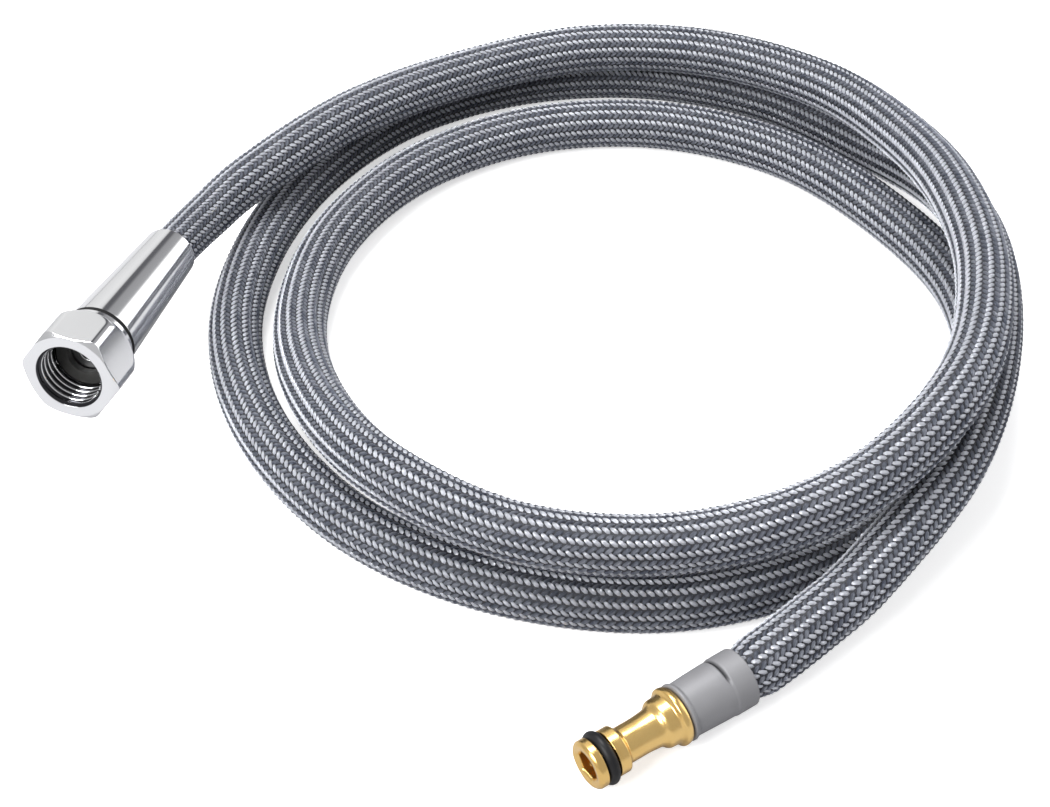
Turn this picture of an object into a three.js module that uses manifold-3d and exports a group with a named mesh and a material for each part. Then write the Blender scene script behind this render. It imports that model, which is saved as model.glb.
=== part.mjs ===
// Braided supply line for a pull-out kitchen tap, lying in a loose coil.
// Millimetres, +Z up, standing on z = 0, centred on the middle of its footprint.
//
// The spray end has a swivel nut on a stem, under a long plain cone sleeve.
// The valve end has a crimped ferrule on a quick-connect spigot with an O-ring.
// Between them runs one hose: a smooth liner tube inside a braided sleeve.

import * as THREE from 'three';
import { mergeVertices } from 'three/addons/utils/BufferGeometryUtils.js';
import Module from 'manifold-3d';

const wasm = await Module();
wasm.setup();

// ---------------------------------------------------------------- sizes

const HOSE_RADIUS = 7.0;
const BRAID_INNER_RADIUS = 5.3;
const LINER_RADIUS = 5.0;
const LINER_BORE_RADIUS = 3.5;
const HOSE_STEPS = 80;
const BRAID_SIDES = 12;
const LINER_SIDES = 8;
const GAP = 0.3;

// Spray end, measured from the cone's small end towards the nut's mouth.
const HOSE_IN_CONE = 36;
const CONE_LENGTH = 44;
const CONE_SMALL_RADIUS = 7.05;
const CONE_LARGE_RADIUS = 9.0;
const CONE_WALL = 0.8;
const BRAID_IN_CONE_RADIUS = 5.85;
const STEM_START = 14;
const STEM_BARB_RADIUS = 2.9;
const STEM_BORE_RADIUS = 2.0;
const STEM_COLLAR_RADIUS = 7.75;
const STEM_NECK_RADIUS = 5.5;
const STEM_FLANGE_RADIUS = 7.2;
const NUT_REAR = 45.5;
const NUT_MOUTH = 61.3;
const NUT_ACROSS_FLATS = 22;
const NUT_CORNER_RADIUS = 12.3;
const NUT_REAR_RADIUS = 9.8;
const NUT_FRONT_RADIUS = 10.9;
const NUT_HOLE_RADIUS = 5.6;
const NUT_BORE_RADIUS = 7.6;
const NUT_MOUTH_RADIUS = 8.35;
const NUT_WEB = 2.7;
const NUT_TURN = 35.97 - 30;
const WASHER_FACE = 52.6;
const WASHER_THICKNESS = 2.0;

// Valve end, measured from the ferrule's hose end towards the spigot's tip.
const HOSE_IN_FERRULE = 16;
const FERRULE_START = 1.2;
const FERRULE_END = 18.2;
const FERRULE_RADIUS = 6.77;
const FERRULE_TIP_RADIUS = 6.3;
const FERRULE_BORE_RADIUS = 5.8;
const BRAID_IN_FERRULE_RADIUS = 5.5;
const SPIGOT_START = -3;
const SPIGOT_BARB_RADIUS = 2.8;
const SPIGOT_TIP = 42.05;
const SPIGOT_FLANGE_RADIUS = 6.8;
const SPIGOT_SHOULDER_RADIUS = 5.6;
const SPIGOT_NECK_RADIUS = 4.2;
const SPIGOT_COLLAR_RADIUS = 5.35;
const SPIGOT_NOSE_RADIUS = 5.6;
const SPIGOT_GROOVE_RADIUS = 3.25;
const SPIGOT_SOCKET_ACROSS_FLATS = 6;
const SPIGOT_SOCKET_DEPTH = 8;
const SPIGOT_BORE_RADIUS = 2.1;
const ORING_PLACE = 38.15;
const ORING_RING_RADIUS = 4.875;
const ORING_SECTION_RADIUS = 1.325;

// ---------------------------------------------------------------- route

// Centre of the coil's footprint in the coordinates the route is written in.
const FOOTPRINT_CENTRE = new THREE.Vector3(4.3, 11.95, 0);

// Unit direction with a compass bearing from +Y towards +X and a rise, in degrees.
function bearing(turn, rise) {
  const across = Math.cos(THREE.MathUtils.degToRad(rise));
  return new THREE.Vector3(
    across * Math.sin(THREE.MathUtils.degToRad(turn)),
    across * Math.cos(THREE.MathUtils.degToRad(turn)),
    Math.sin(THREE.MathUtils.degToRad(rise)),
  );
}

// The nut's mouth looks up a little; the spigot's tip dips towards the table.
const SPRAY_DIRECTION = bearing(180 + 14.2, 8);
const VALVE_DIRECTION = bearing(180 + 56, -2.5);

// Points the hose passes through, from the cone's small end, clockwise seen from
// above, to the ferrule. The hose is 14 across, so z = 7 lies on the table.
const ROUTE = [
  [-92.5, 33, 23],
  [-85.5, 51, 21],
  [-75, 67.5, 22],
  [-50, 97, 22.5],
  [-20, 121, 20.5],
  [16, 134.5, 21],
  [54, 132, 21.5],
  [86.5, 112, 23],
  [104.5, 78.5, 28],
  [112, 41, 35],
  [112, 2.5, 38],
  [101, -34, 37],
  [74.5, -61, 30],
  [38.5, -72, 24],
  [0, -68.5, 22.5],
  [-32, -47.5, 21.5],
  [-51, -15, 15.5],
  [-58.5, 22.5, 9],
  [-52.5, 60.5, 7],
  [-31.5, 92.5, 7],
  [1.5, 112.5, 7],
  [39.5, 115.5, 7],
  [75, 100.5, 7],
  [100.5, 71.5, 7],
  [116.5, 36.5, 7],
  [115, -2, 7],
  [97, -36, 7],
  [69, -62.5, 7],
  [33, -74.5, 7],
  [-5.5, -69.5, 7],
  [-39, -51, 7],
  [-63, -21, 7],
  [-75, 15.5, 7],
  [-73, 54, 7],
  [-59.5, 90.5, 7],
  [-35.5, 120.5, 7],
  [-1.5, 138.5, 7],
  [36.5, 142, 7],
  [73, 129.5, 7],
  [100.5, 102.5, 8.5],
  [116.5, 68.5, 16.5],
  [120, 31, 22.5],
  [114.5, -7.5, 22.5],
  [100.5, -43.5, 21],
  [77, -73, 15],
  [62.5, -85.5, 11],
  [47.5, -97.5, 9],
].map((place) => new THREE.Vector3(...place).sub(FOOTPRINT_CENTRE));

const SPRAY_PLACE = ROUTE[0];
const VALVE_PLACE = ROUTE[ROUTE.length - 1];

function along(start, direction, distance) {
  return start.clone().addScaledVector(direction, distance);
}

const hosePath = new THREE.CatmullRomCurve3([
  along(SPRAY_PLACE, SPRAY_DIRECTION, HOSE_IN_CONE),
  along(SPRAY_PLACE, SPRAY_DIRECTION, HOSE_IN_CONE / 2),
  ...ROUTE,
  along(VALVE_PLACE, VALVE_DIRECTION, HOSE_IN_FERRULE),
], false, 'catmullrom', 0.5);
hosePath.arcLengthDivisions = 2400;

// ---------------------------------------------------------------- solids

function signedVolume(geometry) {
  const place = geometry.attributes.position;
  const corner = [0, 1, 2].map(() => new THREE.Vector3());
  let total = 0;
  for (let i = 0; i < geometry.index.count; i += 3) {
    corner.forEach((v, k) => v.fromBufferAttribute(place, geometry.index.getX(i + k)));
    total += corner[0].dot(corner[1].clone().cross(corner[2])) / 6;
  }
  return total;
}

// One closed body from any three.js geometry: shared corners merged, empty
// triangles dropped and every face turned outwards.
function closedBody(source) {
  const bare = source.clone();
  bare.deleteAttribute('normal');
  bare.deleteAttribute('uv');
  const merged = mergeVertices(bare, 1e-4);
  const kept = [];
  for (let i = 0; i < merged.index.count; i += 3) {
    const [a, b, c] = [0, 1, 2].map((k) => merged.index.getX(i + k));
    if (a !== b && b !== c && c !== a) kept.push(a, b, c);
  }
  merged.setIndex(kept);
  if (signedVolume(merged) < 0) {
    merged.setIndex(kept.map((_, i) => kept[i - (i % 3) + 2 - (i % 3)]));
  }
  return merged;
}

function toManifold(geometry) {
  const body = closedBody(geometry);
  return new wasm.Manifold(new wasm.Mesh({
    numProp: 3,
    vertProperties: new Float32Array(body.attributes.position.array),
    triVerts: new Uint32Array(body.index.array),
  }));
}

function fromManifold(solid) {
  const mesh = solid.getMesh();
  const geometry = new THREE.BufferGeometry();
  geometry.setAttribute('position', new THREE.BufferAttribute(mesh.vertProperties, 3));
  geometry.setIndex(new THREE.BufferAttribute(mesh.triVerts, 1));
  geometry.computeVertexNormals();
  return geometry;
}

// A turned piece about +Z from [radius, distance] pairs in millimetres.
function turned(profile, segments = 32) {
  const outline = profile.map(([radius, distance]) => new THREE.Vector2(radius, distance));
  const geometry = closedBody(new THREE.LatheGeometry(outline, segments).rotateX(Math.PI / 2));
  geometry.computeVertexNormals();
  return geometry;
}

// A turned piece with a hole through it: the profile closes on itself.
function turnedRing(profile, segments = 32) {
  return turned([...profile, profile[0]], segments);
}

function polygon(sides, radius) {
  return Array.from({ length: sides }, (_, k) => {
    const angle = (2 * Math.PI * k) / sides;
    return new THREE.Vector2(radius * Math.cos(angle), radius * Math.sin(angle));
  });
}

// A hexagonal bar about +Z between two distances, a corner towards +X.
function hexagonBar(acrossFlats, start, end) {
  const shape = new THREE.Shape(polygon(6, acrossFlats / Math.sqrt(3)));
  const bar = new THREE.ExtrudeGeometry(shape, { depth: end - start, bevelEnabled: false });
  return bar.translate(0, 0, start);
}

// A tube of polygonal section along the hose's path.
function pathTube(outerSides, outerRadius, innerSides, innerRadius) {
  const section = new THREE.Shape(polygon(outerSides, outerRadius));
  section.holes.push(new THREE.Path(polygon(innerSides, innerRadius)));
  return closedBody(new THREE.ExtrudeGeometry(section, {
    steps: HOSE_STEPS,
    extrudePath: hosePath,
    bevelEnabled: false,
  }));
}

// A group whose +Z runs along a fitting's axis, with +Y as near upright as can be.
function fittingGroup(place, direction) {
  const group = new THREE.Group();
  const side = new THREE.Vector3(0, 0, 1).cross(direction).normalize();
  const lift = direction.clone().cross(side);
  group.position.copy(place);
  group.quaternion.setFromRotationMatrix(new THREE.Matrix4().makeBasis(side, lift, direction));
  group.updateMatrixWorld(true);
  return group;
}

function piece(name, geometry, colour, roughness, metalness) {
  const material = new THREE.MeshStandardMaterial({ color: colour, roughness, metalness });
  const mesh = new THREE.Mesh(geometry, material);
  mesh.name = name;
  return mesh;
}

const sprayEnd = fittingGroup(SPRAY_PLACE, SPRAY_DIRECTION);
const valveEnd = fittingGroup(VALVE_PLACE, VALVE_DIRECTION);

// ---------------------------------------------------------------- hose

const COLLAR_OUTSIDE = 12;

// A ring of space about a fitting's axis, from which the braid is cleared.
function clearance(group, radius, start, end) {
  const ring = turnedRing([
    [radius, start],
    [COLLAR_OUTSIDE, start],
    [COLLAR_OUTSIDE, end],
    [radius, end],
  ], 24);
  return toManifold(ring.applyMatrix4(group.matrixWorld));
}

// The braid is squeezed smaller where the cone and the ferrule grip it.
function makeBraidSleeve() {
  return fromManifold(
    toManifold(pathTube(BRAID_SIDES, HOSE_RADIUS, LINER_SIDES, BRAID_INNER_RADIUS))
      .subtract(clearance(sprayEnd, BRAID_IN_CONE_RADIUS, -GAP, CONE_LENGTH))
      .subtract(clearance(
        valveEnd,
        BRAID_IN_FERRULE_RADIUS,
        FERRULE_START - GAP,
        FERRULE_END,
      )),
  );
}

const hose = new THREE.Group();
hose.add(
  piece('braid_sleeve', makeBraidSleeve(), '#b3b9c6', 0.6, 0.0),
  piece(
    'liner_tube',
    pathTube(LINER_SIDES, LINER_RADIUS, LINER_SIDES, LINER_BORE_RADIUS),
    '#e6e2d8',
    0.5,
    0.0,
  ),
);

// ---------------------------------------------------------------- spray end

function makeConeSleeve() {
  return turnedRing([
    [CONE_SMALL_RADIUS, 0],
    [CONE_LARGE_RADIUS - 0.15, CONE_LENGTH - 0.5],
    [CONE_LARGE_RADIUS, CONE_LENGTH],
    [CONE_LARGE_RADIUS - CONE_WALL, CONE_LENGTH],
    [CONE_SMALL_RADIUS - CONE_WALL, 0],
  ]);
}

// Crimped over the braid under the cone, pressing the liner onto the stem's barb.
function makeSprayFerrule() {
  const outside = CONE_SMALL_RADIUS - CONE_WALL + 0.55;
  return turnedRing([
    [BRAID_IN_CONE_RADIUS + GAP, 20],
    [outside, 20],
    [outside, 39],
    [BRAID_IN_CONE_RADIUS + GAP, 39],
  ], 24);
}

const STEM_COLLAR_START = 40.3;
const STEM_COLLAR_END = 43.7;
const STEM_FLANGE_START = NUT_REAR + NUT_WEB + 0.1;
const STEM_FRONT = WASHER_FACE - WASHER_THICKNESS - GAP;

function makeSprayStem() {
  return turnedRing([
    [STEM_BORE_RADIUS, STEM_START],
    [STEM_BARB_RADIUS - 0.5, STEM_START],
    [STEM_BARB_RADIUS, STEM_START + 2],
    [STEM_BARB_RADIUS, HOSE_IN_CONE + GAP],
    [STEM_NECK_RADIUS - 0.5, HOSE_IN_CONE + GAP],
    [STEM_NECK_RADIUS - 0.5, STEM_COLLAR_START],
    [STEM_COLLAR_RADIUS, STEM_COLLAR_START],
    [STEM_COLLAR_RADIUS, STEM_COLLAR_END],
    [STEM_NECK_RADIUS, STEM_COLLAR_END],
    [STEM_NECK_RADIUS, STEM_FLANGE_START],
    [STEM_FLANGE_RADIUS, STEM_FLANGE_START],
    [STEM_FLANGE_RADIUS, STEM_FRONT],
    [STEM_BORE_RADIUS, STEM_FRONT],
  ]);
}

// Thin ring that the nut's back slides against as it turns.
function makeSlipRing() {
  return turnedRing([
    [STEM_NECK_RADIUS + 0.4, CONE_LENGTH + GAP],
    [CONE_LARGE_RADIUS + 0.1, CONE_LENGTH + GAP],
    [CONE_LARGE_RADIUS + 0.1, NUT_REAR - GAP],
    [STEM_NECK_RADIUS + 0.4, NUT_REAR - GAP],
  ]);
}

// Hexagon with its corners turned off, a domed back and an open front bore.
function makeSwivelNut() {
  const envelope = turned([
    [0, NUT_REAR],
    [NUT_REAR_RADIUS, NUT_REAR],
    [NUT_REAR_RADIUS + 1.1, NUT_REAR + 1.0],
    [NUT_CORNER_RADIUS - 0.5, NUT_REAR + 2.8],
    [NUT_CORNER_RADIUS, NUT_REAR + 4.6],
    [NUT_CORNER_RADIUS, NUT_MOUTH - 0.9],
    [NUT_FRONT_RADIUS, NUT_MOUTH],
    [0, NUT_MOUTH],
  ], 48);
  const inside = turned([
    [0, NUT_REAR - 1],
    [NUT_HOLE_RADIUS, NUT_REAR - 1],
    [NUT_HOLE_RADIUS, NUT_REAR + NUT_WEB],
    [NUT_BORE_RADIUS, NUT_REAR + NUT_WEB],
    [NUT_BORE_RADIUS, NUT_MOUTH - 0.75],
    [NUT_MOUTH_RADIUS, NUT_MOUTH],
    [NUT_MOUTH_RADIUS, NUT_MOUTH + 1],
    [0, NUT_MOUTH + 1],
  ], 48);
  return fromManifold(
    toManifold(hexagonBar(NUT_ACROSS_FLATS, NUT_REAR - 1, NUT_MOUTH + 1))
      .intersect(toManifold(envelope))
      .subtract(toManifold(inside)),
  );
}

function makeSealingWasher() {
  return turnedRing([
    [4.2, WASHER_FACE - WASHER_THICKNESS],
    [NUT_BORE_RADIUS - GAP, WASHER_FACE - WASHER_THICKNESS],
    [NUT_BORE_RADIUS - GAP, WASHER_FACE],
    [4.2, WASHER_FACE],
  ]);
}

const swivelNut = piece('swivel_nut', makeSwivelNut(), '#d9dbde', 0.08, 1.0);
swivelNut.rotation.z = THREE.MathUtils.degToRad(90 - NUT_TURN);

sprayEnd.add(
  piece('cone_sleeve', makeConeSleeve(), '#d4d6d9', 0.08, 1.0),
  piece('spray_ferrule', makeSprayFerrule(), '#9d9fa2', 0.35, 1.0),
  piece('spray_stem', makeSprayStem(), '#c9a24e', 0.3, 1.0),
  piece('slip_ring', makeSlipRing(), '#55585c', 0.45, 0.0),
  swivelNut,
  piece('sealing_washer', makeSealingWasher(), '#8a8a88', 0.8, 0.0),
);

// ---------------------------------------------------------------- valve end

// Crimped tube, pinched once near the hose, with its far rim turned in.
function makeCrimpFerrule() {
  return turnedRing([
    [FERRULE_BORE_RADIUS, FERRULE_START],
    [FERRULE_RADIUS, FERRULE_START],
    [FERRULE_RADIUS, 6.0],
    [FERRULE_RADIUS - 0.4, 6.8],
    [FERRULE_RADIUS - 0.1, 7.6],
    [FERRULE_TIP_RADIUS, FERRULE_END - 0.6],
    [FERRULE_TIP_RADIUS - 0.3, FERRULE_END],
    [4.95, FERRULE_END],
    [4.95, FERRULE_END - 1],
    [FERRULE_BORE_RADIUS, FERRULE_END - 1],
  ]);
}

function makeSpigot() {
  const body = turnedRing([
    [SPIGOT_BORE_RADIUS, SPIGOT_START],
    [SPIGOT_BARB_RADIUS - 0.4, SPIGOT_START],
    [SPIGOT_BARB_RADIUS, SPIGOT_START + 2],
    [SPIGOT_BARB_RADIUS, HOSE_IN_FERRULE + GAP],
    [4.65, HOSE_IN_FERRULE + GAP],
    [4.65, FERRULE_END + GAP],
    [SPIGOT_FLANGE_RADIUS - 0.3, FERRULE_END + GAP],
    [SPIGOT_FLANGE_RADIUS, FERRULE_END + 0.7],
    [SPIGOT_FLANGE_RADIUS, 20.3],
    [SPIGOT_SHOULDER_RADIUS, 20.9],
    [SPIGOT_SHOULDER_RADIUS, 23.7],
    [SPIGOT_NECK_RADIUS + 0.2, 24.5],
    [SPIGOT_NECK_RADIUS, 28],
    [SPIGOT_NECK_RADIUS, 33.6],
    [SPIGOT_COLLAR_RADIUS, 33.8],
    [SPIGOT_COLLAR_RADIUS, 36.5],
    [SPIGOT_GROOVE_RADIUS, 36.5],
    [SPIGOT_GROOVE_RADIUS, 39.8],
    [SPIGOT_NOSE_RADIUS, 39.8],
    [SPIGOT_NOSE_RADIUS, SPIGOT_TIP - 0.7],
    [SPIGOT_NOSE_RADIUS - 0.5, SPIGOT_TIP],
    [SPIGOT_BORE_RADIUS, SPIGOT_TIP],
  ]);
  const socket = hexagonBar(
    SPIGOT_SOCKET_ACROSS_FLATS,
    SPIGOT_TIP - SPIGOT_SOCKET_DEPTH,
    SPIGOT_TIP + 1,
  );
  return fromManifold(toManifold(body).subtract(toManifold(socket)));
}

function makeORing() {
  const section = polygon(12, ORING_SECTION_RADIUS).map((corner) => [
    ORING_RING_RADIUS + corner.x,
    ORING_PLACE + corner.y,
  ]);
  return turnedRing(section, 36);
}

valveEnd.add(
  piece('crimp_ferrule', makeCrimpFerrule(), '#9a9b9c', 0.45, 1.0),
  piece('spigot', makeSpigot(), '#d9b45c', 0.2, 1.0),
  piece('o_ring', makeORing(), '#17181a', 0.5, 0.0),
);

// ---------------------------------------------------------------- object

const group = new THREE.Group();
group.name = 'braided_supply_line';
group.add(hose, sprayEnd, valveEnd);

export default group;
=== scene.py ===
"""Braided supply line for a pull-out kitchen tap, lying in a loose coil."""

import math

import bmesh
import bpy
from mathutils import Matrix, Vector


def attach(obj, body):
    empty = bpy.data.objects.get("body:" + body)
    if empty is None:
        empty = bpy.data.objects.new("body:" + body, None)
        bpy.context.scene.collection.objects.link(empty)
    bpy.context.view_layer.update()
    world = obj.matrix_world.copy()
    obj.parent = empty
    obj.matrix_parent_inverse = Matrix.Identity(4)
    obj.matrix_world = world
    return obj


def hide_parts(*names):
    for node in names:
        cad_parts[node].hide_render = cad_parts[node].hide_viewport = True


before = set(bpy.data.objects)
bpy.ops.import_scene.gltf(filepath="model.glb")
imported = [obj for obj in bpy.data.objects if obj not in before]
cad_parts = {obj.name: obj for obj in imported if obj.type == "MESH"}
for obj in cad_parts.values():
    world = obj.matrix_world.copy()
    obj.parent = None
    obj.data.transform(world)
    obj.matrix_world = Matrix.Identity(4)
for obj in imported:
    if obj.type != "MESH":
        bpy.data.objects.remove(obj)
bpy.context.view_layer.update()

# ---------------------------------------------------------------- camera
# It looks down at the coil from in front, with a longish lens and no roll.

FOOTPRINT_CENTRE = Vector((0.0043, 0.01195, 0.0))
CAMERA_DISTANCE = 0.511
CAMERA_TILT = math.radians(42)
SENSOR_WIDTH = 36.0
FOCAL_LENGTH = SENSOR_WIDTH * 2000 / 1050

eye = bpy.data.objects.new("camera", bpy.data.cameras.new("camera"))
bpy.context.scene.collection.objects.link(eye)
eye.data.sensor_width = SENSOR_WIDTH
eye.data.lens = FOCAL_LENGTH
eye.data.clip_start = 0.02
eye.data.clip_end = 30.0
eye.rotation_euler = (math.pi / 2 - CAMERA_TILT, 0, 0)
eye.location = (
    Vector((0, -math.cos(CAMERA_TILT), math.sin(CAMERA_TILT))) * CAMERA_DISTANCE
    - FOOTPRINT_CENTRE
)
bpy.context.scene.camera = eye

# ---------------------------------------------------------------- hose
# A smooth liner tube inside a sleeve braided from pale blue-grey nylon yarns.
# It is gripped under the cone at one end and in the ferrule at the other, and
# lies clockwise, climbing over itself twice. The core is the lower layer of
# yarns that shows between the upper ones, coloured near black as painted
# shadow in the gaps.

HOSE_RADIUS = 0.0070
HOSE_NARROW_RADIUS = 0.0060
NARROWING = 0.060
HOSE_IN_CONE = 0.020
HOSE_IN_FERRULE = 0.0145
PINCH_START = HOSE_IN_FERRULE - 0.001
PINCH_END = HOSE_IN_FERRULE + 0.004
CORE_DEPTH = 0.00042
CORE_SIDES = 28
LINE_STEPS = 14

YARN_COLUMNS = 28
YARN_ROW_PITCH = 0.00180
YARN_WIDTH = 0.00104
YARN_LENGTH = 0.00262
YARN_HEIGHT = 0.00042
YARN_TAPER = 0.35
YARN_SHIFT = 0.25
YARN_UNEVENNESS = 0.12
YARN_END_MARGIN = 0.0002
RIB_HEIGHT = 0.00034
BRAID_PIECES = 6

# The yarns' dark and pale colours: random tone, with painted highlight and painted
# shade mixed in.
YARN_DARK_TONE_AND_SHADE = (0.065, 0.077, 0.11)
YARN_PALE_TONE_AND_HIGHLIGHT = (0.90, 0.92, 0.99)
# The core's near-black colours are painted shadow for the gaps between the upper yarns.
CORE_SHADOW_COLOUR = (0.012, 0.013, 0.018)
CORE_SHADOW_PALE = (0.03, 0.032, 0.04)

ROUTE = [
    (-0.0925, 0.033, 0.023),
    (-0.0855, 0.051, 0.021),
    (-0.075, 0.0675, 0.022),
    (-0.05, 0.097, 0.0225),
    (-0.02, 0.121, 0.0205),
    (0.016, 0.1345, 0.021),
    (0.054, 0.132, 0.0215),
    (0.0865, 0.112, 0.023),
    (0.1045, 0.0785, 0.028),
    (0.112, 0.041, 0.035),
    (0.112, 0.0025, 0.038),
    (0.101, -0.034, 0.037),
    (0.0745, -0.061, 0.03),
    (0.0385, -0.072, 0.024),
    (0, -0.0685, 0.0225),
    (-0.032, -0.0475, 0.0215),
    (-0.051, -0.015, 0.0155),
    (-0.0585, 0.0225, 0.009),
    (-0.0525, 0.0605, 0.007),
    (-0.0315, 0.0925, 0.007),
    (0.0015, 0.1125, 0.007),
    (0.0395, 0.1155, 0.007),
    (0.075, 0.1005, 0.007),
    (0.1005, 0.0715, 0.007),
    (0.1165, 0.0365, 0.007),
    (0.115, -0.002, 0.007),
    (0.097, -0.036, 0.007),
    (0.069, -0.0625, 0.007),
    (0.033, -0.0745, 0.007),
    (-0.0055, -0.0695, 0.007),
    (-0.039, -0.051, 0.007),
    (-0.063, -0.021, 0.007),
    (-0.075, 0.0155, 0.007),
    (-0.073, 0.054, 0.007),
    (-0.0595, 0.0905, 0.007),
    (-0.0355, 0.1205, 0.007),
    (-0.0015, 0.1385, 0.007),
    (0.0365, 0.142, 0.007),
    (0.073, 0.1295, 0.007),
    (0.1005, 0.1025, 0.0085),
    (0.1165, 0.0685, 0.0165),
    (0.12, 0.031, 0.0225),
    (0.1145, -0.0075, 0.0225),
    (0.1005, -0.0435, 0.021),
    (0.077, -0.073, 0.015),
    (0.0625, -0.0855, 0.011),
    (0.0475, -0.0975, 0.009),
]


def bearing(turn, rise):
    """A direction from a compass bearing off +Y and a rise, in degrees."""
    turn, rise = math.radians(turn), math.radians(rise)
    return Vector(
        (
            math.cos(rise) * math.sin(turn),
            math.cos(rise) * math.cos(turn),
            math.sin(rise),
        )
    )


route = [Vector(point) - FOOTPRINT_CENTRE for point in ROUTE]
spray_place, spray_direction = route[0], bearing(180 + 14.2, 8)
valve_place, valve_direction = route[-1], bearing(180 + 56, -2.5)


def line_through(points, steps):
    """Points along a smooth line that passes through each of a few points."""
    held = [2 * points[0] - points[1], *points, 2 * points[-1] - points[-2]]
    line = []
    for a, b, c, d in zip(held, held[1:], held[2:], held[3:]):
        for step in range(steps):
            t = step / steps
            line.append(
                0.5
                * (
                    2 * b
                    + (c - a) * t
                    + (2 * a - 5 * b + 4 * c - d) * t**2
                    + (3 * b - a - 3 * c + d) * t**3
                )
            )
    return [*line, points[-1]]


hose_line = line_through(
    [
        spray_place + spray_direction * HOSE_IN_CONE,
        spray_place + spray_direction * HOSE_IN_CONE / 2,
        *route,
        valve_place + valve_direction * HOSE_IN_FERRULE,
    ],
    LINE_STEPS,
)
line_length = sum((b - a).length for a, b in zip(hose_line, hose_line[1:]))


class Wire:
    """A node's output that can be used in sums, each of which adds a node."""

    def __init__(self, tree, socket):
        self.tree = tree
        self.socket = socket

    def other(self, name):
        return Wire(self.tree, self.socket.node.outputs[name])

    def sum_of(self, operation, a, b):
        return add_node(self.tree, "ShaderNodeMath", {0: a, 1: b}, operation=operation)

    def run(self, operation, value=0.0):
        return self.sum_of(operation, self, value)

    def __add__(self, value):
        return self.run("ADD", value)

    def __sub__(self, value):
        return self.run("SUBTRACT", value)

    def __rsub__(self, value):
        return self.sum_of("SUBTRACT", value, self)

    def __mul__(self, value):
        return self.run("MULTIPLY", value)

    def __truediv__(self, value):
        return self.run("DIVIDE", value)

    __radd__ = __add__
    __rmul__ = __mul__


def add_node(tree, kind, sockets=None, out=0, stops=None, **settings):
    """Adds one node: its settings first, then its sockets' values or links."""
    node = tree.nodes.new(kind)
    for name, value in settings.items():
        setattr(node, name, value)
    for place, (position, colour) in enumerate(stops or []):
        ramp = node.color_ramp.elements
        stop = ramp[place] if place < 2 else ramp.new(position)
        stop.position = position
        stop.color = (*colour, 1.0)
    for key, value in (sockets or {}).items():
        if isinstance(value, Wire):
            tree.links.new(value.socket, node.inputs[key])
        else:
            node.inputs[key].default_value = value
    return Wire(tree, node.outputs[out]) if node.outputs else node


def new_material(name):
    """A material with an empty tree, with the tree."""
    material = bpy.data.materials.new(name)
    material.use_nodes = True
    material.node_tree.nodes.clear()
    return material, material.node_tree


def finish_material(tree, sockets):
    """Ends a material in one Principled shader with these sockets."""
    shader = add_node(tree, "ShaderNodeBsdfPrincipled", sockets)
    add_node(tree, "ShaderNodeOutputMaterial", {"Surface": shader})


def mixed_colour(tree, factor, a, b):
    """Colour a where the factor is 0 and colour b where it is 1."""
    node = tree.nodes.new("ShaderNodeMix")
    node.data_type = "RGBA"
    tree.links.new(factor.socket, node.inputs["Factor"])
    for key, value in ((6, a), (7, b)):
        if isinstance(value, Wire):
            tree.links.new(value.socket, node.inputs[key])
        else:
            node.inputs[key].default_value = (*value, 1.0)
    return Wire(tree, node.outputs[2])


def speckle(tree, scale, detail=2.0):
    """Noise from 0 to 1 over the piece's own coordinates."""
    place = add_node(tree, "ShaderNodeTexCoord", out="Object")
    return add_node(
        tree,
        "ShaderNodeTexNoise",
        {"Vector": place, "Scale": scale, "Detail": detail},
        out="Fac",
    )


def attribute(tree, name):
    """A value that the mesh holds for each of its points."""
    return add_node(tree, "ShaderNodeAttribute", out="Fac", attribute_name=name)


def bumps(tree, height, strength, distance):
    """A surface tilted by its height, as if that were this many metres deep."""
    return add_node(
        tree,
        "ShaderNodeBump",
        {"Strength": strength, "Distance": distance, "Height": height},
    )


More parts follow.
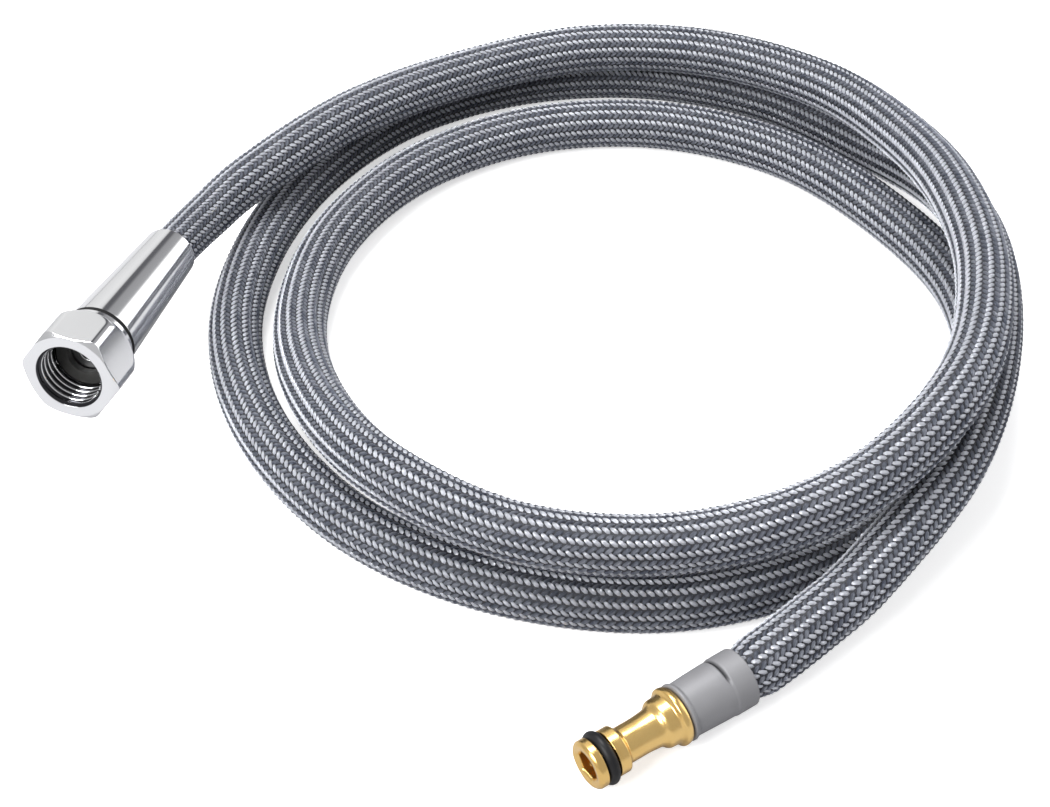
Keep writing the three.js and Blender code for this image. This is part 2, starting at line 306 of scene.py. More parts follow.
def braid_tree():
    """Rows of short yarn floats along a line, leaning left and right by turns.

    Each float is a pillow that dives under its neighbours at both ends. The
    floats of one column lean one way, and those of the next the other way.
    """
    tree = bpy.data.node_groups.new("braid rows", "GeometryNodeTree")
    for name, kind in (
        ("Geometry", "NodeSocketGeometry"),
        ("First row", "NodeSocketInt"),
        ("Rows", "NodeSocketInt"),
        ("Columns", "NodeSocketInt"),
        ("Row pitch", "NodeSocketFloat"),
        ("Hose radius", "NodeSocketFloat"),
        ("Narrow radius", "NodeSocketFloat"),
        ("Line length", "NodeSocketFloat"),
        ("Yarn width", "NodeSocketFloat"),
        ("Yarn length", "NodeSocketFloat"),
        ("Yarn height", "NodeSocketFloat"),
        ("Rib height", "NodeSocketFloat"),
        ("Seed", "NodeSocketInt"),
        ("Material", "NodeSocketMaterial"),
    ):
        tree.interface.new_socket(name, in_out="INPUT", socket_type=kind)
    tree.interface.new_socket(
        "Geometry", in_out="OUTPUT", socket_type="NodeSocketGeometry"
    )
    given = add_node(tree, "NodeGroupInput")
    columns, pitch = given.other("Columns"), given.other("Row pitch")
    length, first_row = given.other("Line length"), given.other("First row")

    def stored(geometry, name, value, domain="POINT"):
        return add_node(
            tree,
            "GeometryNodeStoreNamedAttribute",
            {"Geometry": geometry, "Name": name, "Value": value},
            domain=domain,
        )

    def named(name):
        return add_node(tree, "GeometryNodeInputNamedAttribute", {"Name": name})

    def drawn(number, seed):
        return add_node(
            tree, "FunctionNodeRandomValue", {"ID": number, "Seed": seed}, out=1
        )

    # One point for each float, numbered round the hose and then along it.
    index = add_node(tree, "GeometryNodeInputIndex")
    points = add_node(
        tree, "GeometryNodePoints", {"Count": columns * given.other("Rows")}
    )
    column = index.run("MODULO", columns)
    row = (index / columns).run("FLOOR")
    lean = 1 - 2 * column.run("MODULO", 2.0)
    yarn = (row + first_row - lean * column).run("FLOORED_MODULO", columns)
    for name, value in (
        ("lean", lean),
        ("centre turn", column * (2 * math.pi) / columns),
        ("centre place", (row + first_row + YARN_SHIFT * lean) * pitch),
        ("tone", drawn(yarn + columns * lean, given.other("Seed"))),
        ("stray", drawn(index, first_row + 7)),
    ):
        points = stored(points, name, value)

    # The float's pillow: a five-sided bar of three spans, closed at both ends.
    pillow = add_node(
        tree,
        "GeometryNodeMeshCylinder",
        {
            "Vertices": 5,
            "Side Segments": 3,
            "Fill Segments": 1,
            "Radius": 1.0,
            "Depth": 2.0,
        },
        fill_type="NGON",
    )
    corner = add_node(tree, "GeometryNodeInputPosition")
    corner = add_node(tree, "ShaderNodeSeparateXYZ", {0: corner})
    for name, axis in (("forward", "Z"), ("across", "Y"), ("up", "X")):
        pillow = stored(pillow, name, corner.other(axis))
    floats = add_node(
        tree, "GeometryNodeInstanceOnPoints", {"Points": points, "Instance": pillow}
    )
    floats = add_node(tree, "GeometryNodeRealizeInstances", {"Geometry": floats})

    # Each corner's place round the hose, along it and out from it.
    forward, across, up = named("forward"), named("across"), named("up")
    lean = named("lean")
    half_length = given.other("Yarn length") * 0.5
    half_width = given.other("Yarn width") * 0.5
    step_round = 2 * math.pi * given.other("Hose radius") / columns
    step_size = (step_round * step_round + pitch * pitch).run("SQRT")
    slant, reach = step_round / step_size, pitch / step_size
    taper = 1 - YARN_TAPER * forward.run("POWER", 4.0)
    span = forward * half_length
    breadth = across * half_width * taper
    sideways = lean * slant * span + reach * breadth
    along = reach * span - lean * slant * breadth
    along = (named("centre place") + along).run("MAXIMUM", YARN_END_MARGIN)
    along = along.run("MINIMUM", length - YARN_END_MARGIN)

    def eased_between(value, low, high, start, end):
        return add_node(
            tree,
            "ShaderNodeMapRange",
            {
                "Value": value,
                "From Min": low,
                "From Max": high,
                "To Min": start,
                "To Max": end,
            },
            interpolation_type="SMOOTHSTEP",
        )

    full, narrow = given.other("Hose radius"), given.other("Narrow radius")
    swell_end = HOSE_IN_CONE + NARROWING
    surface = eased_between(along, HOSE_IN_CONE, swell_end, narrow, full)
    surface = surface - eased_between(
        length - along, PINCH_START, PINCH_END, full - narrow, 0.0
    )
    turn = named("centre turn") + sideways / full
    uneven = YARN_UNEVENNESS * (named("stray") - 0.5)
    dive = forward * forward * forward * forward + uneven
    ridge = given.other("Rib height") * lean * (sideways / step_round)
    out = surface + ridge + given.other("Yarn height") * (up - 1.0 - dive)

    line = add_node(tree, "GeometryNodeMeshToCurve", {0: given})
    line = add_node(
        tree,
        "GeometryNodeSampleCurve",
        {"Curves": line, "Length": along},
        out="Position",
        mode="LENGTH",
    )

    def vector(operation, a, b):
        return add_node(tree, "ShaderNodeVectorMath", {0: a, 1: b}, operation=operation)

    def scaled(a, size):
        return add_node(
            tree, "ShaderNodeVectorMath", {0: a, "Scale": size}, operation="SCALE"
        )

    side = line.other("Normal")
    lift = vector("CROSS_PRODUCT", line.other("Tangent"), side)
    spoke = vector(
        "ADD", scaled(side, turn.run("COSINE")), scaled(lift, turn.run("SINE"))
    )
    floats = add_node(
        tree,
        "GeometryNodeSetPosition",
        {"Geometry": floats, "Position": vector("ADD", line, scaled(spoke, out))},
    )
    floats = add_node(
        tree,
        "GeometryNodeSetMaterial",
        {"Geometry": floats, "Material": given.other("Material")},
    )
    add_node(tree, "NodeGroupOutput", {0: floats})
    return tree


def new_piece(name, mesh, material, body, *replaced):
    """An object at the origin that rides on a body and stands for CAD nodes."""
    piece = bpy.data.objects.new(name, mesh)
    bpy.context.scene.collection.objects.link(piece)
    if material is not None:
        mesh.materials.append(material)
    mesh.shade_smooth()
    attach(piece, body)
    if replaced:
        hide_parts(*replaced)
    return piece


def ring_mesh(name, rings, closed=False):
    """A surface through rings of equal length: capped, or closed on itself."""
    count, sides = len(rings), len(rings[0])
    faces = []
    for ring in range(count if closed else count - 1):
        below, above = ring * sides, (ring + 1) % count * sides
        for side in range(sides):
            after = (side + 1) % sides
            faces.append((below + side, below + after, above + after, above + side))
    if not closed:
        faces.append(tuple(reversed(range(sides))))
        faces.append(tuple(range((count - 1) * sides, count * sides)))
    mesh = bpy.data.meshes.new(name)
    mesh.from_pydata([tuple(p) for ring in rings for p in ring], [], faces)
    shell = bmesh.new()
    shell.from_mesh(mesh)
    if shell.calc_volume(signed=True) < 0:
        bmesh.ops.reverse_faces(shell, faces=shell.faces)
    shell.to_mesh(mesh)
    shell.free()
    return mesh


def eased(value, low, high):
    """A smooth step from 0 at the low value to 1 at the high one."""
    t = min(max((value - low) / (high - low), 0.0), 1.0)
    return t * t * (3 - 2 * t)


def hose_surface_radius(place):
    """The hose's outside radius at a distance along its line."""
    swell = eased(place, HOSE_IN_CONE, HOSE_IN_CONE + NARROWING)
    pinch = 1 - eased(line_length - place, PINCH_START, PINCH_END)
    return HOSE_NARROW_RADIUS + (HOSE_RADIUS - HOSE_NARROW_RADIUS) * (swell - pinch)


def turns_round(sides):
    """Evenly spaced angles that go once round."""
    return [2 * math.pi * side / sides for side in range(sides)]


def core_mesh():
    rings, place = [], 0.0
    side = Vector((0, 0, 1)).cross(hose_line[1] - hose_line[0]).normalized()
    for index, point in enumerate(hose_line):
        before = hose_line[max(index - 1, 0)]
        after = hose_line[min(index + 1, len(hose_line) - 1)]
        ahead = (after - before).normalized()
        side = (side - ahead * side.dot(ahead)).normalized()
        lift = ahead.cross(side)
        place += (point - before).length
        radius = hose_surface_radius(place) - CORE_DEPTH
        rings.append(
            [
                point
                + (side * math.cos(turn) + lift * math.sin(turn)) * radius
                for turn in turns_round(CORE_SIDES)
            ]
        )
    return ring_mesh("hose_core", rings)


def core_material():
    material, tree = new_material("braid underlayer in painted shadow")
    grain = speckle(tree, 900, 3)
    finish_material(
        tree,
        {
            # Near black: painted shadow in the gaps between the yarns, with a fine
            # grain.
            "Base Color": mixed_colour(tree, grain, CORE_SHADOW_COLOUR, CORE_SHADOW_PALE),
            "Roughness": 0.55 + 0.25 * grain,
            "Normal": bumps(tree, grain, 0.6, 0.0002),
        },
    )
    return material


def yarn_material():
    """Parallel shiny filaments laid side by side in each yarn.

    The yarns that lean one way are paler than those that lean the other way, as
    painted highlight and painted shade for how light catches each lean, and
    every float has painted shade low down, where its neighbours lie over it.
    """
    material, tree = new_material("braid yarn")
    tone, stray = attribute(tree, "tone"), attribute(tree, "stray")
    lean, across = attribute(tree, "lean"), attribute(tree, "across")
    filaments = (across * (2.5 * math.pi)).run("COSINE").run("ABSOLUTE")
    # Painted shade: each float is darker low down, where its neighbours lie over it.
    height_for_painted_shade = (0.5 + 0.5 * attribute(tree, "up")).run("MINIMUM", 1.0)
    # Painted highlight on one lean and painted shade on the other, over random tone and
    # flecks.
    shade = 0.10 + 0.26 * height_for_painted_shade + 0.10 * tone + 0.06 * stray + 0.36 * lean
    fleck = speckle(tree, 260, 2)
    finish_material(
        tree,
        {
            "Base Color": mixed_colour(
                tree,
                (shade + fleck * 0.2).run("MAXIMUM", 0.0).run("MINIMUM", 1.0),
                YARN_DARK_TONE_AND_SHADE,
                YARN_PALE_TONE_AND_HIGHLIGHT,
            ),
            "Metallic": 0.55,
            "Roughness": 0.24 + 0.14 * fleck,
            "Normal": bumps(tree, filaments, 1.0, 0.0002),
        },
    )
    return material


core = new_piece("hose_core", core_mesh(), core_material(), "hose", "braid_sleeve")

yarn_finish = yarn_material()
rows_in_all = int(line_length / YARN_ROW_PITCH) + 1
rows_each = math.ceil(rows_in_all / BRAID_PIECES)
braid_nodes = braid_tree()
socket_of = {
    socket.name: socket.identifier
    for socket in braid_nodes.interface.items_tree
    if socket.in_out == "INPUT"
}
line_mesh = bpy.data.meshes.new("hose line")
line_mesh.from_pydata(
    [tuple(point) for point in hose_line],
    [(k, k + 1) for k in range(len(hose_line) - 1)],
    [],
)
for number in range(BRAID_PIECES):
    holder = bpy.data.objects.new("hose line", line_mesh)
    bpy.context.scene.collection.objects.link(holder)
    modifier = holder.modifiers.new("braid rows", "NODES")
    modifier.node_group = braid_nodes
    for name, value in (
        ("First row", number * rows_each),
        ("Rows", min(rows_each, rows_in_all - number * rows_each)),
        ("Columns", YARN_COLUMNS),
        ("Row pitch", YARN_ROW_PITCH),
        ("Hose radius", HOSE_RADIUS),
        ("Narrow radius", HOSE_NARROW_RADIUS),
        ("Line length", line_length),
        ("Yarn width", YARN_WIDTH),
        ("Yarn length", YARN_LENGTH),
        ("Yarn height", YARN_HEIGHT),
        ("Rib height", RIB_HEIGHT),
        ("Seed", 3),
        ("Material", yarn_finish),
    ):
        modifier[socket_of[name]] = value
    bpy.context.view_layer.update()
    evaluated = holder.evaluated_get(bpy.context.evaluated_depsgraph_get())
    yarns = bpy.data.meshes.new_from_object(evaluated)
    bpy.data.objects.remove(holder)
    piece = new_piece(f"braid_yarns_{number + 1}", yarns, None, "hose")

# ---------------------------------------------------------------- cone sleeve
# A long plain cone spun from thin brass and chrome plated. It slides over the
# hose's end and hides the crimp, and its small end is rolled in.

CONE_LENGTH = 44.0
CONE_SMALL_RADIUS = 7.05
CONE_LARGE_RADIUS = 9.0
CONE_WALL = 0.8
CHROME_COLOUR = (0.94, 0.945, 0.95)
CHROME_SMEARED = (0.88, 0.885, 0.90)
MM = 0.001


def end_frame(place, direction):
    """A fitting's own axes: +Z along it and +Y as near upright as can be."""
    side = Vector((0, 0, 1)).cross(direction).normalized()
    lift = direction.cross(side)
    axes = Matrix((side, lift, direction)).transposed().to_4x4()
    return Matrix.Translation(place) @ axes


spray_frame = end_frame(spray_place, spray_direction)
valve_frame = end_frame(valve_place, valve_direction)


def softened(profile, radius, closed=True, steps=4):
    """A profile of [radius, distance] pairs with its corners rounded off.

    A short straight stretch is kept beside each round, so that the faces
    between rounds shade flat.
    """
    corners = [Vector(point[:2]) for point in profile]
    sizes = [point[2] if len(point) > 2 else radius for point in profile]
    count, line = len(corners), []
    for k in range(count):
        if not closed and k in (0, count - 1):
            line.append(corners[k])
            continue
        here = corners[k]
        back, ahead = corners[k - 1] - here, corners[(k + 1) % count] - here
        cut = min(sizes[k], back.length * 0.4, ahead.length * 0.4)
        spare = min(0.08, back.length * 0.08, ahead.length * 0.08)
        start = here + back.normalized() * cut
        end = here + ahead.normalized() * cut
        line.append(start + back.normalized() * spare)
        for step in range(steps + 1):
            t = step / steps
            line.append(start * (1 - t) ** 2 + here * 2 * t * (1 - t) + end * t**2)
        line.append(end + ahead.normalized() * spare)
    return line


def placed_rings(axes, rings):
    """Rings of (radius, turn, distance) in mm, as points about a fitting's axis."""
    return [
        [
            axes @ (Vector((r * math.cos(turn), r * math.sin(turn), z)) * MM)
            for r, turn, z in ring
        ]
        for ring in rings
    ]


def turned_mesh(name, axes, profile, radius=0.12, sides=96):
    """A piece turned about its fitting's axis from a closed profile, in mm."""
    rings = [
        [(point.x, turn, point.y) for turn in turns_round(sides)]
        for point in softened(profile, radius)
    ]
    return ring_mesh(name, placed_rings(axes, rings), closed=True)


def plated_colour(tree, smear):
    return mixed_colour(tree, smear, CHROME_COLOUR, CHROME_SMEARED)


def finish_plating(tree, smear, colour):
    """Ends a material in bright plating with faint handling smears."""
    finish_material(
        tree,
        {
            "Base Color": colour,
            "Metallic": 1.0,
            "Roughness": 0.08 + 0.06 * smear,
            "Normal": bumps(tree, speckle(tree, 1400, 2), 0.04, 0.00005),
        },
    )


chrome, chrome_tree = new_material("chrome plating")
chrome_smear = speckle(chrome_tree, 70, 4)
finish_plating(chrome_tree, chrome_smear, plated_colour(chrome_tree, chrome_smear))
cone = new_piece(
    "cone_sleeve_turned",
    turned_mesh(
        "cone_sleeve_turned",
        spray_frame,
        [
            (CONE_SMALL_RADIUS, 0.0, 0.3),
            (CONE_LARGE_RADIUS, CONE_LENGTH, 0.35),
            (CONE_LARGE_RADIUS - CONE_WALL, CONE_LENGTH),
            (CONE_SMALL_RADIUS - CONE_WALL, 0.0),
        ],
    ),
    chrome,
    "hose",
    "cone_sleeve",
)

# ---------------------------------------------------------------- slip ring
# A thin dark plastic ring between the cone and the nut, for the nut to turn on.


def plastic_material(name, colour, pale, roughness, specular=0.5):
    """Plain plastic or rubber with a fine grain."""
    material, tree = new_material(name)
    grain = speckle(tree, 600, 3)
    finish_material(
        tree,
        {
            "Base Color": mixed_colour(tree, grain, colour, pale),
            "Roughness": roughness + 0.15 * grain,
            "Specular IOR Level": specular,
            "Normal": bumps(tree, grain, 0.15, 0.0001),
        },
    )
    return material


slip_ring = new_piece(
    "slip_ring_turned",
    turned_mesh(
        "slip_ring_turned",
        spray_frame,
        [(5.9, 44.15), (9.3, 44.15), (9.3, 45.35), (5.9, 45.35)],
    ),
    plastic_material(
        "slip ring plastic", (0.004, 0.004, 0.004), (0.012, 0.012, 0.013), 0.5, 0.2
    ),
    "hose",
    "slip_ring",
)

# ---------------------------------------------------------------- spray stem
# The turned brass tube the nut spins on. Its barb is inside the hose, and its
# flange is trapped in the nut under the washer.

spray_stem = new_piece(
    "spray_stem_turned",
    turned_mesh(
        "spray_stem_turned",
        spray_frame,
        [
            (2.0, 14),
            (2.4, 14),
            (2.9, 16),
            (2.9, 36.3),
            (5.0, 36.3),
            (5.0, 40.3),
            (7.75, 40.3),
            (7.75, 43.7),
            (5.5, 43.7),
            (5.5, 48.3),
            (7.2, 48.3),
            (7.2, 50.3),
            (2.0, 50.3),
        ],
        sides=64,
    ),
    chrome,
    "hose",
    "spray_stem",
)

# ---------------------------------------------------------------- swivel nut
# A chrome-plated brass hexagon with turned corners, a domed back and a cut
# internal thread, so that it screws onto the hand spray and spins freely.

NUT_REAR = 45.5
NUT_MOUTH = 61.3
NUT_ACROSS_FLATS = 22.0
NUT_CORNER_RADIUS = 12.3
NUT_TURN = math.radians(35.97)
THREAD_PITCH = 1.8
THREAD_CREST_RADIUS = 7.5
THREAD_ROOT_RADIUS = 8.3
THREAD_START = 53.4
THREAD_STEP = 0.11
MOUTH_CHAMFER = 0.95
MOUTH_SLOPE = 0.95
NUT_SIDES = 180
NUT_STEP = 0.35
CORNER_BLEND = 0.25
# Near black: painted shadow for the thread's roots.
THREAD_ROOT_SHADOW_COLOUR = (0.045, 0.045, 0.05)


def soft_least(a, b, blend):
    """The lesser of two lengths, with the meeting rounded over."""
    share = max(blend - abs(a - b), 0.0) / blend
    return min(a, b) - share * share * blend * 0.25


def hexagon_radius(turn):
    """Distance from the axis to the hexagon's side, a corner at turn 0."""
    within = (turn + math.pi / 6) % (math.pi / 3) - math.pi / 6
    return NUT_ACROSS_FLATS / 2 / math.cos(math.pi / 6 - abs(within))


def thread_radius(turn, place):
    """Bore radius of a right-hand thread that fades out at its inner end."""
    phase = (place / THREAD_PITCH + turn / (2 * math.pi)) % 1.0
    ridge = min(max(1.5 - abs(phase - 0.5) * 4.4, 0.0), 1.0)
    cut = THREAD_ROOT_RADIUS - (THREAD_ROOT_RADIUS - THREAD_CREST_RADIUS) * ridge
    into_chamfer = max(place - (NUT_MOUTH - MOUTH_CHAMFER), 0.0)
    return max(cut, THREAD_CREST_RADIUS + into_chamfer * MOUTH_SLOPE)


def finely_cut(line, step):
    """The points of a line, with more between them where they are far apart."""
    points = []
    for start, end in zip(line, line[1:]):
        cuts = max(1, math.ceil((end - start).length / step))
        points += [start.lerp(end, cut / cuts) for cut in range(cuts)]
    return points


def nut_mesh():
    outside = softened(
        [
            (5.6, NUT_REAR, 0.1),
            (9.45, NUT_REAR, 0.3),
            (9.6, NUT_REAR + 1.7, 0.2),
            (9.0, NUT_REAR + 1.85, 0.1),
            (9.0, NUT_REAR + 2.4, 0.1),
            (10.5, NUT_REAR + 2.6, 0.3),
            (11.6, NUT_REAR + 3.9, 0.8),
            (NUT_CORNER_RADIUS, NUT_REAR + 5.8, 1.0),
            (NUT_CORNER_RADIUS, NUT_MOUTH - MOUTH_CHAMFER, 0.3),
            (10.9, NUT_MOUTH, 0.25),
            (8.4, NUT_MOUTH, 0.1),
        ],
        0.2,
        closed=False,
    )
    turns = turns_round(NUT_SIDES)
    sides = [hexagon_radius(turn - math.pi / 2 + NUT_TURN) for turn in turns]
    rings = [
        [
            (soft_least(point.x, side, CORNER_BLEND), turn, point.y)
            for turn, side in zip(turns, sides)
        ]
        for point in finely_cut(outside, NUT_STEP)
    ]
    place = NUT_MOUTH
    while place > THREAD_START:
        rings.append([(thread_radius(turn, place), turn, place) for turn in turns])
        place -= THREAD_STEP
    for radius, place in (
        (THREAD_ROOT_RADIUS, THREAD_START - 0.1),
        (THREAD_ROOT_RADIUS, 52.8),
        (7.7, 52.5),
        (7.6, 48.4),
        (7.4, 48.2),
        (5.8, 48.2),
        (5.6, 48.0),
        (5.6, 45.8),
    ):
        rings.append([(radius, turn, place) for turn in turns])
    return ring_mesh("swivel_nut_turned", placed_rings(spray_frame, rings), closed=True)


def nut_material():
    """Chrome outside and on the thread's crests, with painted shadow in the roots
    between them.
    """
    material, tree = new_material("nut plating")
    smear = speckle(tree, 70, 4)

    def vector(operation, value, fixed, out=0):
        return add_node(
            tree, "ShaderNodeVectorMath", {0: value, 1: fixed}, out, operation=operation
        )

    place = add_node(tree, "ShaderNodeTexCoord", out="Object")
    spoke = vector("SUBTRACT", place, tuple(spray_place))
    spoke = vector("CROSS_PRODUCT", spoke, tuple(spray_direction))
    radius = vector("LENGTH", spoke, (0.0, 0.0, 0.0), "Value")

    def step_up(low, high):
        return add_node(
            tree,
            "ShaderNodeMapRange",
            {"Value": radius, "From Min": low * MM, "From Max": high * MM},
            interpolation_type="SMOOTHSTEP",
        )

    crest = 1 - step_up(THREAD_CREST_RADIUS + 0.05, THREAD_CREST_RADIUS + 0.3)
    outside = step_up(THREAD_ROOT_RADIUS, THREAD_ROOT_RADIUS + 0.15)
    # The thread's roots take painted shadow; the crests and the outside stay plated.
    bright = crest.run("MAXIMUM", outside)
    plated = plated_colour(tree, smear)
    finish_plating(tree, smear, mixed_colour(tree, bright, THREAD_ROOT_SHADOW_COLOUR, plated))
    return material


nut = new_piece("swivel_nut_turned", nut_mesh(), nut_material(), "nut", "swivel_nut")

# ---------------------------------------------------------------- sealing washer
# A flat dark rubber ring at the bottom of the nut, pressed by the spray's end.

washer = new_piece(
    "sealing_washer_turned",
    turned_mesh(
        "sealing_washer_turned",
        spray_frame,
        [(4.2, 50.6), (7.3, 50.6), (7.3, 52.6), (4.2, 52.6)],
        radius=0.25,
        sides=64,
    ),
    plastic_material(
        "washer rubber", (0.025, 0.025, 0.024), (0.05, 0.05, 0.048), 0.5, 0.3
    ),
    "nut",
    "sealing_washer",
)

# ---------------------------------------------------------------- crimp ferrule
# A grey steel tube pressed over the braid. One ring of it is pinched in near
# the hose, and its far rim is turned in over the spigot.

FERRULE_SIDES = 128
FERRULE_STEP = 0.12
CRIMP_PLACE = 6.9
CRIMP_WIDTH = 0.34
CRIMP_DEPTH = 0.62
CRIMP_MIDDLE = math.radians(112)
CRIMP_REACH = math.radians(62)
FERRULE_COLOUR = (0.20, 0.20, 0.21)
FERRULE_PALE = (0.25, 0.25, 0.26)
# Near black: painted shadow for the fold of the crimp.
CREASE_SHADOW_COLOUR = (0.012, 0.012, 0.014)


def ferrule_material():
    """Dull grey steel, with painted shadow in the fold of the crimp."""
    material, tree = new_material("ferrule steel")
    broad = speckle(tree, 160, 3)
    steel = mixed_colour(tree, broad, FERRULE_COLOUR, FERRULE_PALE)
    crease_shadow = attribute(tree, "crease_shadow")
    finish_material(
        tree,
        {
            # The crimp's fold takes painted shadow.
            "Base Color": mixed_colour(tree, crease_shadow, steel, CREASE_SHADOW_COLOUR),
            "Metallic": 0.25,
            "Roughness": 0.48 + 0.14 * broad,
            "Normal": bumps(tree, speckle(tree, 2600, 2), 0.12, 0.00008),
        },
    )
    return material


def ferrule_mesh():
    """A tube with a flared lip, and a crimp pressed in over part of its turn."""
    outside = softened(
        [
            (6.05, 1.2),
            (6.85, 1.2, 0.25),
            (6.85, 6.3, 0.2),
            (6.65, 6.9, 0.2),
            (6.62, 9.0),
            (6.30, 16.9, 0.3),
            (6.72, 17.4, 0.2),
            (6.72, 17.95, 0.15),
            (6.2, 18.2, 0.15),
            (4.95, 18.2, 0.1),
        ],
        0.1,
        closed=False,
    )
    levels = finely_cut(outside, FERRULE_STEP)
    turns = turns_round(FERRULE_SIDES)

    def dent(point, turn):
        away = abs((turn - CRIMP_MIDDLE + math.pi) % (2 * math.pi) - math.pi)
        share = 1 - eased(away, CRIMP_REACH * 0.6, CRIMP_REACH)
        return share * math.exp(-(((point.y - CRIMP_PLACE) / CRIMP_WIDTH) ** 2))

    dents = [[dent(point, turn) for turn in turns] for point in levels]
    rings = [
        [
            (point.x - CRIMP_DEPTH * deep, turn, point.y)
            for turn, deep in zip(turns, row)
        ]
        for point, row in zip(levels, dents)
    ]
    for radius, place in ((4.95, 18.2), (4.95, 17.2), (5.85, 17.2), (5.95, 1.2)):
        rings.append([(radius, turn, place) for turn in turns])
        dents.append([0.0] * FERRULE_SIDES)
    mesh = ring_mesh(
        "crimp_ferrule_pressed", placed_rings(valve_frame, rings), closed=True
    )
    # The dent's share at each point, kept for the painted shadow in the crimp.
    crease_shadow = mesh.attributes.new("crease_shadow", "FLOAT", "POINT")
    crease_shadow.data.foreach_set("value", [deep for row in dents for deep in row])
    return mesh


ferrule = new_piece(
    "crimp_ferrule_pressed", ferrule_mesh(), ferrule_material(), "hose", "crimp_ferrule"
)

# ---------------------------------------------------------------- spigot
# Polished brass, turned from bar: a barb in the hose, a flange and shoulder, a
# waist that the tap's clip grips, and two collars with the seal ring between.
# The mouth has a hexagonal socket for a key.

SPIGOT_TIP = 42.05
SPIGOT_SIDES = 96
SOCKET_ACROSS_FLATS = 6.0
SOCKET_CORNER_RADIUS = 3.38
BRASS_COLOUR = (0.80, 0.50, 0.15)
BRASS_PALE = (0.93, 0.67, 0.28)


def brass_material():
    """Lathe-turned brass, with fine rings and slightly darker handling."""
    material, tree = new_material("spigot brass")
    broad = speckle(tree, 120, 3)
    place = add_node(tree, "ShaderNodeTexCoord", out="Object")
    along = add_node(
        tree,
        "ShaderNodeVectorMath",
        {0: place, 1: tuple(valve_direction)},
        out="Value",
        operation="DOT_PRODUCT",
    )
    rings = add_node(
        tree,
        "ShaderNodeTexNoise",
        {"W": along, "Scale": 9000.0, "Detail": 1.0},
        out="Fac",
        noise_dimensions="1D",
    )
    finish_material(
        tree,
        {
            "Base Color": mixed_colour(tree, broad, BRASS_COLOUR, BRASS_PALE),
            "Metallic": 1.0,
            "Roughness": 0.20 + 0.10 * broad,
            "Normal": bumps(tree, rings, 0.10, 0.00004),
        },
    )
    return material


def spigot_mesh():
    outside = softened(
        [
            (2.1, -3.0),
            (2.4, -3.0),
            (2.8, -1.0),
            (2.8, 16.3),
            (4.65, 16.3),
            (4.65, 18.5),
            (6.45, 18.55, 0.3),
            (6.8, 19.3, 0.4),
            (6.8, 20.2, 0.3),
            (5.75, 20.9, 0.3),
            (5.6, 23.4, 0.6),
            (4.45, 24.6, 0.8),
            (4.15, 28.0, 1.0),
            (4.15, 33.2, 0.4),
            (5.35, 33.9, 0.25),
            (5.35, 36.5, 0.2),
            (3.25, 36.5),
            (3.25, 39.8),
            (5.6, 39.8, 0.2),
            (5.6, 41.4, 0.3),
            (5.0, SPIGOT_TIP, 0.25),
            (4.0, SPIGOT_TIP, 0.3),
        ],
        0.15,
        closed=False,
    )
    turns = turns_round(SPIGOT_SIDES)
    rings = [[(point.x, turn, point.y) for turn in turns] for point in outside]

    def socket_radius(turn):
        within = turn % (math.pi / 3) - math.pi / 6
        return min(SOCKET_ACROSS_FLATS / 2 / math.cos(within), SOCKET_CORNER_RADIUS)

    for back in (0.5, 0.8, 2.0, 4.0, 6.0, 7.6, 7.8):
        rings.append([(socket_radius(turn), turn, SPIGOT_TIP - back) for turn in turns])
    for radius, place in (
        (2.3, SPIGOT_TIP - 8.0),
        (2.1, SPIGOT_TIP - 8.3),
        (2.1, 10.0),
    ):
        rings.append([(radius, turn, place) for turn in turns])
    return ring_mesh("spigot_turned", placed_rings(valve_frame, rings), closed=True)


spigot = new_piece("spigot_turned", spigot_mesh(), brass_material(), "hose", "spigot")

# ---------------------------------------------------------------- O-ring
# A moulded black rubber ring that seals the spigot in its socket.

O_RING_PLACE = 38.15
O_RING_RADIUS = 4.875
O_RING_SECTION = 1.325
O_RING_SECTION_SIDES = 20


def o_ring_mesh():
    rings = [
        [
            (
                O_RING_RADIUS + O_RING_SECTION * math.cos(angle),
                turn,
                O_RING_PLACE + O_RING_SECTION * math.sin(angle),
            )
            for turn in turns_round(SPIGOT_SIDES)
        ]
        for angle in turns_round(O_RING_SECTION_SIDES)
    ]
    return ring_mesh("o_ring_moulded", placed_rings(valve_frame, rings), closed=True)


o_ring = new_piece(
    "o_ring_moulded",
    o_ring_mesh(),
    plastic_material(
        "seal rubber", (0.005, 0.005, 0.006), (0.014, 0.014, 0.015), 0.35, 0.25
    ),
    "hose",
    "o_ring",
)

# ---------------------------------------------------------------- hidden pieces
# The liner tube carries the water inside the braid, and the inner ferrule
# holds it on the stem's barb. Both only show down the fittings' bores.

for node, finish in (
    (
        "liner_tube",
        plastic_material("liner plastic", (0.62, 0.60, 0.55), (0.72, 0.70, 0.66), 0.4),
    ),
    ("spray_ferrule", ferrule_material()),
):
    hidden = bpy.data.objects[node]
    hidden.data.materials.clear()
    hidden.data.materials.append(finish)

# ---------------------------------------------------------------- surroundings
# A plain white table under two soft lights, one overhead and one at the front
# on the left. The room behind is pale on the left, dark in the middle and very
# bright on the right, and the plating mirrors it in bands.

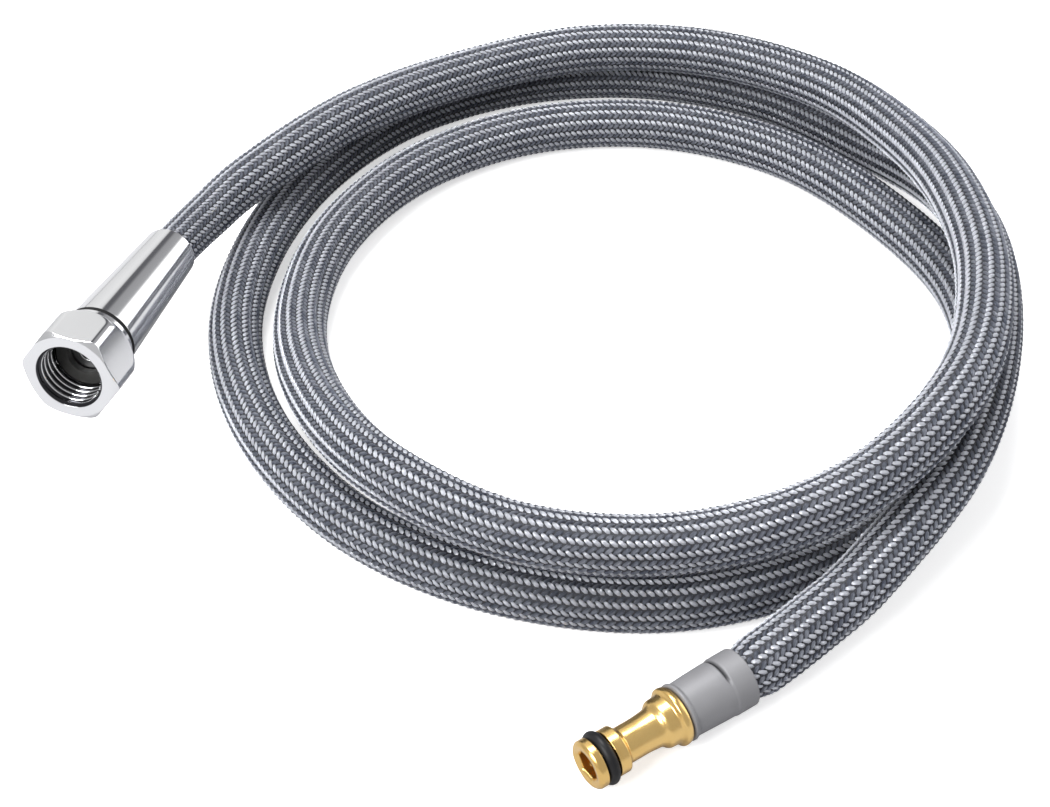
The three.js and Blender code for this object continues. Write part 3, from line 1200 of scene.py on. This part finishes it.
FLOOR_SIZE = 6.0
FLOOR_HEIGHT = -0.0002
floor_mesh = bpy.data.meshes.new("table")
floor_mesh.from_pydata(
    [
        (x * FLOOR_SIZE, y * FLOOR_SIZE, FLOOR_HEIGHT)
        for x, y in ((-1, -1), (1, -1), (1, 1), (-1, 1))
    ],
    [],
    [(0, 1, 2, 3)],
)
floor = bpy.data.objects.new("table", floor_mesh)
bpy.context.scene.collection.objects.link(floor)
paper, paper_tree = new_material("white paper")
matt = add_node(
    paper_tree, "ShaderNodeBsdfDiffuse", {"Color": (0.41, 0.41, 0.42, 1.0)}, out="BSDF"
)
pale = add_node(
    paper_tree,
    "ShaderNodeBsdfPrincipled",
    {
        "Base Color": (0.9, 0.9, 0.9, 1.0),
        "Roughness": 0.9,
        "Emission Color": (1.0, 1.0, 1.0, 1.0),
        "Emission Strength": 0.55,
    },
)
seen = add_node(paper_tree, "ShaderNodeLightPath", out="Is Camera Ray")
sheet = add_node(paper_tree, "ShaderNodeMixShader", {0: seen, 1: matt, 2: pale})
add_node(paper_tree, "ShaderNodeOutputMaterial", {"Surface": sheet})
floor_mesh.materials.append(paper)


def soft_light(name, place, size, power):
    """A rectangular soft light, aimed at the middle of the coil."""
    lamp = bpy.data.lights.new(name, "AREA")
    lamp.shape = "RECTANGLE"
    lamp.size, lamp.size_y = size
    lamp.energy = power
    holder = bpy.data.objects.new(name, lamp)
    holder.location = place
    holder.rotation_mode = "QUATERNION"
    holder.rotation_quaternion = (-Vector(place)).to_track_quat("-Z", "Y")
    bpy.context.scene.collection.objects.link(holder)


soft_light("overhead light", (-0.25, 0.35, 1.4), (0.8, 0.5), 21)
soft_light("front light", (-0.9, -0.9, 1.0), (0.7, 0.6), 23)

room = bpy.data.worlds.new("room")
room.use_nodes = True
room.node_tree.nodes.clear()
sky = room.node_tree
toward = add_node(sky, "ShaderNodeTexCoord", out="Generated")
toward = add_node(sky, "ShaderNodeSeparateXYZ", {0: toward}, out="X")
screens = add_node(
    sky,
    "ShaderNodeValToRGB",
    {"Fac": 0.5 + 0.5 * toward},
    stops=[
        (0.0, (0.5, 0.5, 0.51)),
        (0.43, (0.85, 0.85, 0.85)),
        (0.49, (0.75, 0.75, 0.75)),
        (0.515, (0.11, 0.11, 0.12)),
        (0.58, (0.13, 0.13, 0.14)),
        (0.62, (0.32, 0.32, 0.33)),
        (0.75, (0.38, 0.38, 0.39)),
        (0.80, (1.9, 1.9, 1.9)),
    ],
    out="Color",
)
behind = add_node(
    sky,
    "ShaderNodeMapRange",
    {"Value": toward.other("Y"), "From Min": -0.1, "From Max": 0.3},
    interpolation_type="SMOOTHSTEP",
)
walls = mixed_colour(sky, behind, (0.52, 0.52, 0.53), screens)
glow = add_node(sky, "ShaderNodeBackground", {"Color": walls, "Strength": 1.0})
add_node(sky, "ShaderNodeOutputWorld", {"Surface": glow})
bpy.context.scene.world = room
bpy.context.scene.view_settings.view_transform = "Standard"
